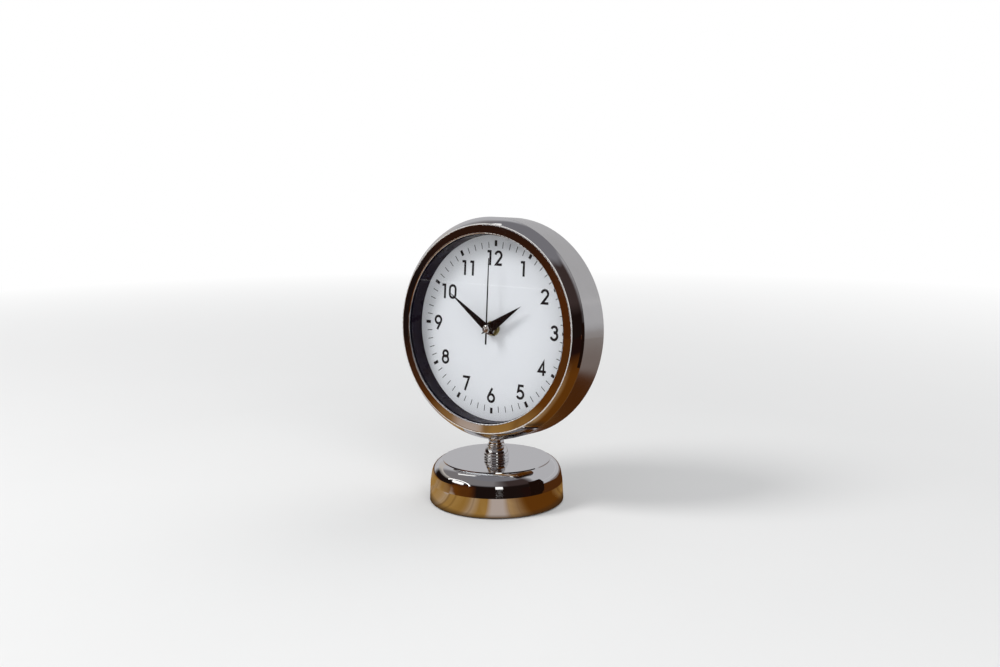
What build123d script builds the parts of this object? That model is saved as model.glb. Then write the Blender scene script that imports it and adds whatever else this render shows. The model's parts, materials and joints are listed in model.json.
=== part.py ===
from build123d import *
import os
from math import atan2, cos, degrees, pi, radians, sin

# Pedestal desk clock: a chrome drum with a deep, leaning face on a short turned stem and a weighted
# round base. A quartz movement with its whole gear train sits behind the dial.
#
# Row frame, millimetres: origin at the centre of the base's underside, +Z up, the face looks along -Y.
# Everything in the drum is drawn in the dial frame and then placed: origin at the centre of the dial's
# front face, X to the right, Y towards 12 o'clock, Z out towards the reader.

# ---- stand
PAD_RADIUS, PAD_THICK = 43.4, 2.0
BASE_FOOT_RADIUS, BASE_FOOT_GAP = 45.0, 0.9     # the shell stops short of the table
BASE_BAND_RADIUS, BASE_BAND_TOP = 44.4, 13.4    # nearly upright lower band
BASE_TOP, BASE_TOP_RADIUS = 28.1, 35.9          # flat mirror disc on top
BASE_WALL = 1.4
STUD_RADIUS, STUD_LOW, STUD_HIGH = 2.5, 2.6, 53.7
NUT_FLATS, NUT_HEIGHT, WASHER_THICK = 8.0, 4.0, 1.0
COLLAR_FOOT_RADIUS, COLLAR_NECK_RADIUS, COLLAR_TOP_RADIUS = 8.6, 5.0, 6.0
SADDLE_RADIUS, SADDLE_TOP = 6.0, 48.1

# ---- drum
LEAN = 4.0                                      # the face tips back, degrees
DIAL_SETBACK, DIAL_HEIGHT = -1.8, 116.2         # dial centre, from the stem's axis and the table
DRUM_RADIUS, DRUM_WALL = 72.8, 1.0
DRUM_FRONT, DRUM_REAR = 6.0, -18.0              # along the dial frame's Z
REAR_RIM = 2.2                                  # width of the lip turned in at the back
BEZEL_CREST_RADIUS, BEZEL_CREST = 67.9, 13.15
BEZEL_LIP_RADIUS, BEZEL_LIP = 61.8, 13.72
SKIRT_RADIUS, SKIRT_REAR = 71.7, 2.0
GLASS_RADIUS, GLASS_REAR, GLASS_FRONT = 65.6, 10.7, 12.7
GASKET_FRONT = 13.1
WELL_RADIUS, WELL_WALL = 61.3, 1.5              # the deep dark ring between glass and dial
DIAL_RADIUS, DIAL_THICK = 65.0, 1.0
BACK_REAR, BACK_THICK = -17.0, 1.2
WINDOW, WINDOW_CORNER = 60.0, 4.0
POST_CIRCLE, POST_RADIUS, POST_ANGLES = 68.2, 3.0, (90, 210, 330)
DIAL_SCREW_CIRCLE, DIAL_SCREW_ANGLES = 63.1, (45, 135, 225, 315)
FIT = 0.05                                      # radial clearance of a close fit

# ---- movement housing
CASE_HALF, CASE_WALL = 28.0, 1.2
CASE_FRONT, CASE_REAR, COVER_REAR = -1.0, -16.0, -17.0
FLOOR = CASE_FRONT - CASE_WALL
DIVIDER_TOP, DIVIDER_BOTTOM = -10.3, -11.5      # wall between gear train and battery bay
BUSH_RADIUS, BUSH_TOP, NUT_RADIUS = 3.5, 3.4, 5.05
LATCHES = ((-15.0, 0), (15.0, 0), (0.0, 90), (0.0, -90))    # offset along its wall, wall's turn from the top
LATCH_TIP, CATCH_LOW, CATCH_HIGH = -12.2, -14.6, -13.4
MIDDLE_FRONT, MIDDLE_REAR, MIDDLE_EDGE = -7.6, -8.4, 2.4
MIDDLE_PILLARS = ((14.0, -8.0), (24.0, 23.5), (8.0, 23.8))
BOARD_PILLARS = ((-23.0, 23.5), (-12.0, 23.5))
BOARD_FRONT, BOARD_REAR = -11.0, -12.0
CELL_RADIUS, CELL_LOW, CELL_HIGH, CELL_NUB = 7.1, -24.32, 25.0, 26.3
CELL_AT = (-19.15, -9.6)                        # Y and Z of the cell's axis
PIVOT_END = -15.6                               # rear end of the small arbors

# ---- gear train: tooth counts and modules
TOOTH_TOP, TOOTH_ROOT = 0.8, 1.1                # in modules
TOOTH_SHARE, TIP_SHARE = 0.70, 0.40             # of half the pitch, at the pitch line and at the tip
ROTOR_LEAVES, IDLER_TEETH, IDLER_LEAVES, SECONDS_TEETH = 8, 48, 8, 40
SECONDS_LEAVES, THIRD_TEETH, THIRD_LEAVES, CENTRE_TEETH = 8, 60, 8, 64
CANNON_LEAVES, MINUTE_TEETH, MINUTE_LEAVES, HOUR_TEETH = 12, 36, 10, 40
ROTOR_MODULE, IDLER_MODULE, CENTRE_MODULE, MOTION_MODULE = 0.28, 0.35, 0.30, 0.50


def polar(length, angle, start=(0.0, 0.0)):
    """Point at a distance and an angle in degrees from a start point."""
    return (start[0] + length * cos(radians(angle)), start[1] + length * sin(radians(angle)))


CENTRE = (0.0, 0.0)
THIRD_AT = polar(CENTRE_MODULE * (CENTRE_TEETH + THIRD_LEAVES) / 2, 180)
IDLER_AT = polar(IDLER_MODULE * (SECONDS_TEETH + IDLER_LEAVES) / 2, -20)
ROTOR_AT = polar(ROTOR_MODULE * (IDLER_TEETH + ROTOR_LEAVES) / 2, 25, IDLER_AT)
SETTING_AT = polar(MOTION_MODULE * (CANNON_LEAVES + MINUTE_TEETH) / 2, 60)
# the second stage of each pair shares its centre distance, which fixes its module
SECONDS_MODULE = CENTRE_MODULE * (CENTRE_TEETH + THIRD_LEAVES) / (THIRD_TEETH + SECONDS_LEAVES)
HOUR_MODULE = MOTION_MODULE * (CANNON_LEAVES + MINUTE_TEETH) / (HOUR_TEETH + MINUTE_LEAVES)

# ---- shafts and hands
SECONDS_ARBOR, CANNON_BORE, CANNON_RADIUS = 0.5, 0.58, 1.58
PIPE_BORE, PIPE_RADIUS, BUSH_BORE = 1.65, 2.55, 2.62
SETTING_ARBOR, SMALL_ARBOR = 0.9, 0.4
HAND_THICK = 0.35
HOUR_HAND_AT, MINUTE_HAND_AT, SECOND_HAND_AT = 5.2, 6.8, 8.1
HOUR_ANGLE, MINUTE_ANGLE, SECOND_ANGLE = 56.3, 304.0, 0.0    # clockwise from 12, degrees

UPRIGHT = (Align.CENTER, Align.CENTER, Align.MIN)
DIAL_PLACE = Pos(0, DIAL_SETBACK, DIAL_HEIGHT) * Rot(90 - LEAN, 0, 0)


# ------------------------------------------------------------------ shared shapes
def rod(radius, low, high, at=CENTRE):
    """Round bar along Z between two heights."""
    return Pos(at[0], at[1], low) * Cylinder(radius, high - low, align=UPRIGHT)


def tube(outer, inner, low, high, at=CENTRE):
    """Round tube along Z between two heights."""
    return rod(outer, low, high, at) - rod(inner, low, high, at)


def block(x_range, y_range, z_range):
    """Box given by its ranges on the three axes."""
    sizes = [high - low for low, high in (x_range, y_range, z_range)]
    return Pos(x_range[0], y_range[0], z_range[0]) * Box(*sizes, align=(Align.MIN,) * 3)


def turned(*pieces):
    """Solid of revolution about Z; an outline in (radius, height) from points or ready-made edges."""
    if isinstance(pieces[0], tuple):
        outline = Polyline(*pieces, close=True)
    else:
        outline = Curve() + list(pieces)
    return revolve(Plane.XZ * make_face(outline), Axis.Z)


def dome(radius, low, rise):
    """Solid spherical cap with its flat face at low."""
    ball = (radius**2 + rise**2) / (2 * rise)
    centre = low + rise - ball
    start = degrees(atan2(low - centre, radius))
    return turned(Line((0, low), (radius, low)), CenterArc((0, centre), ball, start, 90 - start),
                  Line((0, low + rise), (0, low)))


def hex_nut(low):
    """Plain hexagon nut round the stem's stud, its threads left out."""
    body = extrude(RegularPolygon(NUT_FLATS / 2, 6, major_radius=False), NUT_HEIGHT)
    return Pos(0, 0, low) * body - rod(STUD_RADIUS + FIT, low, low + NUT_HEIGHT)


def washer(radius, low):
    """Flat washer round the stem's stud."""
    return tube(radius, STUD_RADIUS + 0.2, low, low + WASHER_THICK)


def gear(teeth, module, low, high, at=CENTRE, aim=0.0):
    """Spur gear with straight flanks and room between teeth; one tooth points at the angle aim."""
    pitch = teeth * module / 2
    root, tip = pitch - TOOTH_ROOT * module, pitch + TOOTH_TOP * module
    half_pitch = TOOTH_SHARE * pi * module / 4
    half_tip = TIP_SHARE * pi * module / 4
    half_root = half_pitch + (half_pitch - half_tip) * TOOTH_ROOT / TOOTH_TOP
    outline = []
    for tooth in range(teeth):
        turn = radians(aim) + 2 * pi * tooth / teeth
        for along, across in ((root, -half_root), (tip, -half_tip), (tip, half_tip), (root, half_root)):
            outline.append((along * cos(turn) - across * sin(turn), along * sin(turn) + across * cos(turn)))
    return Pos(at[0], at[1], low) * extrude(make_face(Polyline(*outline, close=True)), high - low)


def pierced(wheel, holes, hole, circle, low, high, at=CENTRE):
    """Wheel with a ring of round holes through its web."""
    for index in range(holes):
        wheel -= rod(hole, low, high, polar(circle, 360 * index / holes, at))
    return wheel


def tooth_towards(start, end):
    """Angle that points a tooth from one arbor at another."""
    return degrees(atan2(end[1] - start[1], end[0] - start[0]))


def gap_towards(start, end, teeth):
    """Angle that turns the gap between two teeth from one arbor to another."""
    return tooth_towards(start, end) + 180 / teeth


# ------------------------------------------------------------------ stand
def base_shell():
    """Pressed dome: upright band, leaning shoulder, a fine step and a flat top with the stud's hole."""
    lean_end, crown = (43.4, 19.4), (36.4, BASE_TOP - 0.7)
    inner_top = BASE_TOP - BASE_WALL
    inner_lean_end, inner_crown = (42.0, 19.2), (33.0, inner_top)
    hole = STUD_RADIUS + 0.1
    turned_in = BASE_FOOT_RADIUS - BASE_WALL
    inner_band = BASE_BAND_RADIUS - BASE_WALL
    return turned(
        Polyline((BASE_FOOT_RADIUS, BASE_FOOT_GAP), (BASE_BAND_RADIUS, BASE_BAND_TOP), lean_end),
        TangentArc(lean_end, crown, tangent=(-1, 6)),
        Polyline(crown, (BASE_TOP_RADIUS + 0.15, crown[1]), (BASE_TOP_RADIUS, BASE_TOP), (hole, BASE_TOP),
                 (hole, inner_top), inner_crown),
        ThreePointArc(inner_crown, (39.6, 23.9), inner_lean_end),
        Polyline(inner_lean_end, (inner_band, BASE_BAND_TOP), (turned_in, BASE_FOOT_GAP),
                 (BASE_FOOT_RADIUS, BASE_FOOT_GAP)),
    )


def base_weight():
    """Cast ballast disc with a hub up to the shell's roof and a pocket below for the nut."""
    bore, pocket, pocket_top, hub, roof = STUD_RADIUS + 0.2, 9.0, 8.0, 9.5, BASE_TOP - BASE_WALL
    return turned((bore, pocket_top), (pocket, pocket_top), (pocket, PAD_THICK), (38.5, PAD_THICK),
                  (38.5, 10.0), (36.5, 12.0), (hub + 1.5, 12.0), (hub, 13.5), (hub, roof), (bore, roof))


def base_pad():
    """Soft disc under the base that keeps the shell's edge off the table."""
    return turned((0, 0), (PAD_RADIUS - 0.4, 0), (PAD_RADIUS, 0.4), (PAD_RADIUS, PAD_THICK), (0, PAD_THICK))


def stem_stud():
    """Rod that pulls base, collar and drum together, its threads left out."""
    ease = 0.5
    return turned((0, STUD_LOW), (STUD_RADIUS - ease, STUD_LOW), (STUD_RADIUS, STUD_LOW + ease),
                  (STUD_RADIUS, STUD_HIGH - ease), (STUD_RADIUS - ease, STUD_HIGH), (0, STUD_HIGH))


def stem_collar():
    """Turned bell with two beads at its foot, a ring under its neck and a flare cut to the drum's curve."""
    foot, neck, top, bore = COLLAR_FOOT_RADIUS, COLLAR_NECK_RADIUS, COLLAR_TOP_RADIUS, STUD_RADIUS + 0.1
    z = BASE_TOP
    bell = turned(
        Line((bore, z), (foot - 0.2, z)),
        ThreePointArc((foot - 0.2, z), (foot, z + 0.8), (foot - 0.3, z + 1.6)),
        Polyline((foot - 0.3, z + 1.6), (foot - 0.8, z + 1.8), (foot - 0.3, z + 2.0)),
        ThreePointArc((foot - 0.3, z + 2.0), (foot - 0.1, z + 2.9), (foot - 0.7, z + 4.0)),
        Polyline((foot - 0.7, z + 4.0), (foot - 1.1, z + 4.2), (foot - 0.8, z + 4.5)),
        ThreePointArc((foot - 0.8, z + 4.5), (7.1, z + 6.5), (5.7, z + 8.3)),
        ThreePointArc((5.7, z + 8.3), (6.1, z + 8.8), (5.6, z + 9.3)),
        ThreePointArc((5.6, z + 9.3), (neck, z + 11.1), (5.5, z + 12.6)),
        Polyline((5.5, z + 12.6), (top, z + 13.4), (top, z + 17.0), (bore, z + 17.0), (bore, z)),
    )
    return bell - DIAL_PLACE * rod(DRUM_RADIUS + 0.02, -40, 40)


def case_saddle():
    """Shaped block inside the drum: round underneath to fit the wall, flat on top for the washer."""
    body = tube(SADDLE_RADIUS, STUD_RADIUS + 0.1, SADDLE_TOP - 9, SADDLE_TOP)
    return body & DIAL_PLACE * rod(DRUM_RADIUS - DRUM_WALL - 0.02, -40, 40)


# ------------------------------------------------------------------ drum and face
def case_drum():
    """Rolled tube with a lip turned in at the back and the stud's hole underneath."""
    inner, lip, ease = DRUM_RADIUS - DRUM_WALL, DRUM_RADIUS - REAR_RIM, 0.25
    shell = turned((inner, DRUM_FRONT), (DRUM_RADIUS - ease, DRUM_FRONT), (DRUM_RADIUS, DRUM_FRONT - ease),
                   (DRUM_RADIUS, DRUM_REAR + 0.5), (DRUM_RADIUS - 0.5, DRUM_REAR), (lip, DRUM_REAR),
                   (lip, BACK_REAR), (inner, BACK_REAR))
    return DIAL_PLACE * shell - rod(STUD_RADIUS + 0.1, 30, 60)


def bezel_ring():
    """Heavy front ring: bulged flank, bright crest, nearly flat face, thin lip and a skirt in the drum."""
    ease, inner_wall, skirt_inner = 0.25, 66.0, SKIRT_RADIUS - 1.1
    return turned(
        Line((DRUM_RADIUS - ease, DRUM_FRONT), (DRUM_RADIUS, DRUM_FRONT + ease)),
        ThreePointArc((DRUM_RADIUS, DRUM_FRONT + ease), (70.97, 9.78), (BEZEL_CREST_RADIUS + 0.5, 12.75)),
        ThreePointArc((BEZEL_CREST_RADIUS + 0.5, 12.75), (BEZEL_CREST_RADIUS, BEZEL_CREST),
                      (BEZEL_CREST_RADIUS - 0.7, BEZEL_CREST + 0.1)),
        Line((BEZEL_CREST_RADIUS - 0.7, BEZEL_CREST + 0.1), (BEZEL_LIP_RADIUS + 0.75, BEZEL_LIP)),
        ThreePointArc((BEZEL_LIP_RADIUS + 0.75, BEZEL_LIP), (BEZEL_LIP_RADIUS + 0.2, BEZEL_LIP - 0.17),
                      (BEZEL_LIP_RADIUS, BEZEL_LIP - 0.55)),
        Polyline((BEZEL_LIP_RADIUS, BEZEL_LIP - 0.55), (BEZEL_LIP_RADIUS, GASKET_FRONT),
                 (inner_wall, GASKET_FRONT), (inner_wall, 10.2), (skirt_inner, 4.5),
                 (skirt_inner, SKIRT_REAR), (SKIRT_RADIUS, SKIRT_REAR), (SKIRT_RADIUS, DRUM_FRONT),
                 (DRUM_RADIUS - ease, DRUM_FRONT)),
    )


def lens():
    """Flat front glass with eased edges."""
    ease = 0.2
    return turned((0, GLASS_REAR), (GLASS_RADIUS - ease, GLASS_REAR), (GLASS_RADIUS, GLASS_REAR + ease),
                  (GLASS_RADIUS, GLASS_FRONT - ease), (GLASS_RADIUS - ease, GLASS_FRONT), (0, GLASS_FRONT))


def dial_well():
    """Moulded carrier: deep dark wall round the dial, seats for glass and dial, posts for the back."""
    wall, flange, skirt = WELL_RADIUS + WELL_WALL, SKIRT_RADIUS - 0.1, GLASS_REAR - 1.0
    body = turned((WELL_RADIUS, 0), (flange, 0), (flange, SKIRT_REAR), (wall, SKIRT_REAR), (wall, skirt),
                  (GLASS_RADIUS + 0.2, skirt), (GLASS_RADIUS + 0.2, GLASS_REAR), (WELL_RADIUS, GLASS_REAR))
    back_face, pilot = BACK_REAR + BACK_THICK, 1.25
    for angle in POST_ANGLES:
        at = polar(POST_CIRCLE, angle)
        body += rod(POST_RADIUS, back_face, SKIRT_REAR, at)
        body -= rod(pilot, back_face, back_face + 10, at)
    for angle in DIAL_SCREW_ANGLES:
        body -= rod(1.0, 0, 1.6, polar(DIAL_SCREW_CIRCLE, angle))
    return body


def dial_plate():
    """Thin metal disc that carries the printed face; the movement's bush passes through it."""
    plate = tube(DIAL_RADIUS, BUSH_RADIUS + 0.1, -DIAL_THICK, 0)
    for angle in DIAL_SCREW_ANGLES:
        plate -= rod(1.1, -DIAL_THICK, 0, polar(DIAL_SCREW_CIRCLE, angle))
    return plate


def screw_ring(circle, angles, head, head_high, shank, seat, tip):
    """Equal pan-head screws on a circle; seat is under the head and tip is the shank's end."""
    screws = []
    for angle in angles:
        at = polar(circle, angle)
        body = rod(shank, seat, tip, at) + rod(head, seat - head_high, seat, at)
        screws.append(body - Pos(at[0], at[1], seat - head_high) * Box(2 * head, 0.5, 0.8))
    return Compound(screws)


def back_cover():
    """Recessed rear plate with a stiffening ring and a framed window for knob and battery."""
    front = BACK_REAR + BACK_THICK
    plate = rod(DRUM_RADIUS - DRUM_WALL - 0.2, BACK_REAR, front) + tube(58, 56.5, BACK_REAR - 0.5, BACK_REAR)
    frame = RectangleRounded(WINDOW + 4, WINDOW + 4, WINDOW_CORNER + 2)
    plate += Pos(0, 0, BACK_REAR - 0.6) * extrude(frame, 0.6)
    window = RectangleRounded(WINDOW, WINDOW, WINDOW_CORNER)
    plate -= Pos(0, 0, BACK_REAR - 1) * extrude(window, BACK_THICK + 2)
    for angle in POST_ANGLES:
        plate -= rod(1.5, BACK_REAR, front, polar(POST_CIRCLE, angle))
    return plate


# ------------------------------------------------------------------ movement housing
def on_wall(offset, wall, x_range, depth_range, z_range):
    """Box against an outer wall of the movement: x along the wall, depth away from it."""
    along = [offset + x for x in x_range]
    away = [CASE_HALF + depth for depth in depth_range]
    return Rot(0, 0, wall) * block(along, away, z_range)


def movement_case():
    """Moulded tray: gear chamber, battery bay with cradle ribs, pillars and bearing holes."""
    inside = CASE_HALF - CASE_WALL
    tray = Pos(0, 0, CASE_REAR) * extrude(RectangleRounded(2 * CASE_HALF, 2 * CASE_HALF, 2.0),
                                          CASE_FRONT - CASE_REAR)
    tray -= block((-inside, inside), (DIVIDER_TOP, inside), (CASE_REAR, FLOOR))
    tray -= block((-inside, inside), (-inside, DIVIDER_BOTTOM), (CASE_REAR, FLOOR))
    tray -= block((-9, 9), (-CASE_HALF, -inside), (CASE_REAR, -9.0))
    cell = Pos(0, CELL_AT[0], CELL_AT[1]) * Rot(0, 90, 0) * Cylinder(CELL_RADIUS + FIT, 60)
    for x in (-15.0, 15.0):
        tray += block((x - 0.8, x + 0.8), (-inside, DIVIDER_BOTTOM), (-6.0, FLOOR)) - cell
    for at in MIDDLE_PILLARS:
        tray += rod(1.6, MIDDLE_FRONT, FLOOR, at) + rod(0.8, MIDDLE_REAR - 0.2, MIDDLE_FRONT, at)
    for at in BOARD_PILLARS:
        tray += rod(1.5, BOARD_FRONT, FLOOR, at) + rod(0.7, BOARD_REAR - 0.2, BOARD_FRONT, at)
    tray -= rod(BUSH_RADIUS + FIT, FLOOR, CASE_FRONT)
    tray -= rod(SMALL_ARBOR + 0.07, FLOOR, FLOOR + 0.7, THIRD_AT)
    tray -= rod(0.67, FLOOR, FLOOR + 0.7, SETTING_AT)
    for offset, wall in LATCHES:
        tray += on_wall(offset, wall, (-1.6, 1.6), (-0.2, 0.6), (CATCH_LOW, CATCH_HIGH))
    return tray


def movement_cover():
    """Snap-on rear lid of the gear chamber: sunk panel, locating lip, bearing bosses and four latches."""
    lid = block((-CASE_HALF, CASE_HALF), (DIVIDER_BOTTOM, CASE_HALF), (COVER_REAR, CASE_REAR))
    lid = chamfer(lid.edges().filter_by(Axis.Z).group_by(Axis.Y)[-1], 1.5)
    lip_x, lip_low, lip_high = CASE_HALF - CASE_WALL - 0.1, DIVIDER_TOP + 0.1, CASE_HALF - CASE_WALL - 0.1
    lid += (block((-lip_x, lip_x), (lip_low, lip_high), (CASE_REAR, CASE_REAR + 0.8))
            - block((1 - lip_x, lip_x - 1), (lip_low + 1, lip_high - 1), (CASE_REAR, CASE_REAR + 0.8)))
    for at, arbor in ((CENTRE, SECONDS_ARBOR), (THIRD_AT, SMALL_ARBOR), (IDLER_AT, SMALL_ARBOR),
                      (ROTOR_AT, SMALL_ARBOR)):
        lid += rod(1.2, CASE_REAR, CASE_REAR + 0.9, at)
        lid -= rod(arbor + 0.07, CASE_REAR - 0.1, CASE_REAR + 0.9, at)
    sunk = COVER_REAR + 0.3
    panel = block((-25.0, 25.0), (-8.5, 25.0), (COVER_REAR, sunk))
    lid -= panel - tube(7.2, 6.4, COVER_REAR, sunk, SETTING_AT)
    for offset, wall in LATCHES:
        lid += on_wall(offset, wall, (-3.0, 3.0), (-0.4, 0.85), (COVER_REAR, CASE_REAR))
        lid += on_wall(offset, wall, (-3.0, 3.0), (FIT, 0.85), (CASE_REAR, LATCH_TIP))
        lid -= on_wall(offset, wall, (-1.8, 1.8), (FIT, 0.85), (CATCH_LOW - 0.1, CATCH_HIGH + 0.1))
    return lid - rod(SETTING_ARBOR + 0.08, COVER_REAR, CASE_REAR, SETTING_AT)


def middle_plate():
    """Bridge over the motion work that carries the front pivots of rotor and idler."""
    inside = CASE_HALF - CASE_WALL - 0.3
    plate = block((MIDDLE_EDGE, inside), (DIVIDER_TOP + 0.3, inside), (MIDDLE_REAR, MIDDLE_FRONT))
    for at in MIDDLE_PILLARS:
        plate -= rod(0.8 + FIT, MIDDLE_REAR, MIDDLE_FRONT, at)
    for at in (IDLER_AT, ROTOR_AT):
        plate -= rod(SMALL_ARBOR + 0.07, MIDDLE_REAR, MIDDLE_FRONT, at)
    return plate - rod(SETTING_ARBOR + 0.6, MIDDLE_REAR, MIDDLE_FRONT, SETTING_AT)


def movement_bush():
    """Brass neck that holds the movement to the dial and guides the hour pipe."""
    return turned((BUSH_BORE, FLOOR - 0.35), (5.5, FLOOR - 0.35), (5.5, FLOOR), (BUSH_RADIUS, FLOOR),
                  (BUSH_RADIUS, BUSH_TOP - 0.3), (BUSH_RADIUS - 0.3, BUSH_TOP), (BUSH_BORE, BUSH_TOP))


def movement_nut():
    """Thin round nut on the bush, with two flats for a spanner."""
    ring = turned((BUSH_RADIUS + FIT, 0.3), (NUT_RADIUS - 0.3, 0.3), (NUT_RADIUS, 0.6), (NUT_RADIUS, 2.0),
                  (NUT_RADIUS - 0.3, 2.3), (BUSH_RADIUS + FIT, 2.3))
    across_flats = 9.4
    return ring & block((-NUT_RADIUS, NUT_RADIUS), (-across_flats / 2, across_flats / 2), (0.3, 2.3))


# ------------------------------------------------------------------ electrics
def stator():
    """Soft-iron plate round the rotor, with two tabs that meet the coil's core."""
    low, high = -14.2, -13.4
    plate = block((11.8, 18.2), (-8, 20), (low, high)) + rod(4.4, low, high, ROTOR_AT)
    for y in (-8, 16.5):
        plate += block((18.2, 24.6), (y, y + 3.5), (low, high))
    return plate - rod(3.1, low, high, ROTOR_AT)


def coil_core():
    """Flat iron bar through the coil, lying on the stator's two tabs."""
    return block((21.0, 24.0), (-8, 20), (-13.4, -12.6))


def coil_bobbin():
    """Rectangular moulded sleeve with an end flange each side of the winding."""
    sleeve = block((20.6, 24.4), (-3.6, 15.6), (-13.8, -12.2))
    for y in (-3.6, 15.0):
        sleeve += block((19.6, 25.4), (y, y + 0.6), (-15.8, -10.2))
    return sleeve - block((20.95, 24.05), (-4, 16), (-13.45, -12.55))


def coil_winding():
    """Fine wire on the bobbin, drawn as one closed round body."""
    body = Pos(22.5, 15.0, -13.0) * Rot(90, 0, 0) * Cylinder(2.75, 18.0, align=UPRIGHT)
    return body - block((20.6, 24.4), (-4, 16), (-13.8, -12.2))


def circuit_board():
    """Small board on two pillars."""
    board = block((-25.5, -9.5), (13.0, 25.5), (BOARD_REAR, BOARD_FRONT))
    for at in BOARD_PILLARS:
        board -= rod(0.7 + FIT, BOARD_REAR, BOARD_FRONT, at)
    return board


def crystal_can():
    """Round quartz can lying on the board."""
    return Pos(-22.5, 15.6, BOARD_REAR - 1.05) * Rot(0, 90, 0) * Cylinder(1.05, 6.2, align=UPRIGHT)


def chip_blob():
    """Flat dome of resin over the chip."""
    return Pos(-17.0, 19.8, BOARD_REAR) * Rot(180, 0, 0) * dome(2.6, 0, 1.1)


def contact_minus():
    """Folded spring leaf at the cell's flat end."""
    leaf = Polyline((-26.8, -14.5), (-26.8, -3.7), (-26.3, -3.7), (-24.34, -9.4), (-24.34, -9.8),
                    (-25.3, -13.0), (-25.6, -12.8), (-24.7, -9.65), (-26.4, -4.8), (-26.5, -14.5), close=True)
    return Pos(0, CELL_AT[0] + 4, 0) * extrude(Plane.XZ * make_face(leaf), 8)


def contact_plus():
    """Flat plate at the cell's button end, with a turned-over top."""
    y_range = (CELL_AT[0] - 4.5, CELL_AT[0] + 4.5)
    return block((26.3, 26.8), y_range, (-15.0, -4.0)) + block((25.2, 26.8), y_range, (-4.0, -3.5))


def battery_cell():
    """Size AA cell: straight can, button at the right-hand end."""
    can = turned((0, CELL_LOW), (CELL_RADIUS - 0.5, CELL_LOW), (CELL_RADIUS, CELL_LOW + 0.5),
                 (CELL_RADIUS, CELL_HIGH - 0.5), (CELL_RADIUS - 0.5, CELL_HIGH), (2.75, CELL_HIGH),
                 (2.75, CELL_NUB - 0.2), (2.5, CELL_NUB), (0, CELL_NUB))
    return Pos(0, CELL_AT[0], CELL_AT[1]) * Rot(0, 90, 0) * can


# ------------------------------------------------------------------ gear train
def rotor_shaft():
    """Rotor's pinion and arbor, with a hub for the magnet."""
    aim = gap_towards(ROTOR_AT, IDLER_AT, ROTOR_LEAVES)
    shaft = rod(0.33, PIVOT_END, MIDDLE_FRONT - 0.1, ROTOR_AT) + rod(0.9, -14.8, -12.6, ROTOR_AT)
    return shaft + gear(ROTOR_LEAVES, ROTOR_MODULE, -12.6, -11.4, ROTOR_AT, aim)


def rotor_magnet():
    """Ring magnet inside the stator's hole."""
    return tube(2.6, 0.93, -14.6, -13.0, ROTOR_AT)


def idler_wheel():
    """Wheel driven by the rotor; its pinion drives the seconds wheel."""
    wheel = gear(IDLER_TEETH, ROTOR_MODULE, -12.4, -11.6, IDLER_AT, tooth_towards(IDLER_AT, ROTOR_AT))
    wheel = pierced(wheel, 5, 1.3, 3.8, -12.4, -11.6, IDLER_AT)
    aim = gap_towards(IDLER_AT, CENTRE, IDLER_LEAVES)
    pinion = gear(IDLER_LEAVES, IDLER_MODULE, -10.6, -9.4, IDLER_AT, aim)
    arbor = rod(SMALL_ARBOR, PIVOT_END, MIDDLE_FRONT - 0.1, IDLER_AT)
    return wheel + pinion + rod(1.1, -12.9, -10.6, IDLER_AT) + arbor


def seconds_wheel():
    """Wheel that turns once a minute, pressed on the seconds arbor."""
    wheel = gear(SECONDS_TEETH, IDLER_MODULE, -10.4, -9.6, aim=tooth_towards(CENTRE, IDLER_AT))
    wheel = pierced(wheel, 5, 1.4, 4.2, -10.4, -9.6)
    return wheel + rod(1.6, -10.9, -9.0) - rod(SECONDS_ARBOR + 0.02, -10.9, -9.0)


def seconds_arbor():
    """Long steel arbor from the rear bearing to the second hand, with its pinion."""
    pinion = gear(SECONDS_LEAVES, SECONDS_MODULE, -8.6, -7.4, aim=tooth_towards(CENTRE, THIRD_AT))
    return rod(SECONDS_ARBOR, PIVOT_END, SECOND_HAND_AT + 0.4) + pinion


def third_wheel():
    """Reducing wheel between the seconds arbor and the centre wheel."""
    aim = gap_towards(THIRD_AT, CENTRE, THIRD_TEETH)
    wheel = gear(THIRD_TEETH, SECONDS_MODULE, -8.4, -7.6, THIRD_AT, aim)
    wheel = pierced(wheel, 5, 2.2, 5.2, -8.4, -7.6, THIRD_AT)
    pinion = gear(THIRD_LEAVES, CENTRE_MODULE, -6.6, -5.4, THIRD_AT, tooth_towards(THIRD_AT, CENTRE))
    arbor = rod(SMALL_ARBOR, PIVOT_END, FLOOR + 0.5, THIRD_AT)
    return wheel + pinion + rod(1.0, -9.2, -6.6, THIRD_AT) + arbor


def centre_wheel():
    """Wheel that turns once an hour, free on the cannon and gripped there by the clutch spring."""
    wheel = gear(CENTRE_TEETH, CENTRE_MODULE, -6.4, -5.6, aim=gap_towards(CENTRE, THIRD_AT, CENTRE_TEETH))
    return pierced(wheel, 5, 1.9, 6.2, -6.4, -5.6) - rod(CANNON_RADIUS + 0.08, -6.4, -5.6)


def clutch_spring():
    """Dished spring washer under the centre wheel; it slips while the hands are being set."""
    outer, inner, low, high = 3.6, CANNON_RADIUS + 0.04, -6.85, -6.5
    return turned((inner, low), (inner, low + 0.2), (outer, high), (outer, high - 0.2))


def cannon_pinion():
    """Minute tube with its leaves and the shoulder that the centre wheel bears against."""
    tube_body = tube(CANNON_RADIUS, CANNON_BORE, -6.95, MINUTE_HAND_AT + HAND_THICK + 0.15)
    leaves = gear(CANNON_LEAVES, MOTION_MODULE, -4.9, -3.75, aim=tooth_towards(CENTRE, SETTING_AT))
    shoulder = rod(2.4, -5.5, -4.9)
    return tube_body + (leaves + shoulder - rod(CANNON_RADIUS, -5.5, -3.75))


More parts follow.
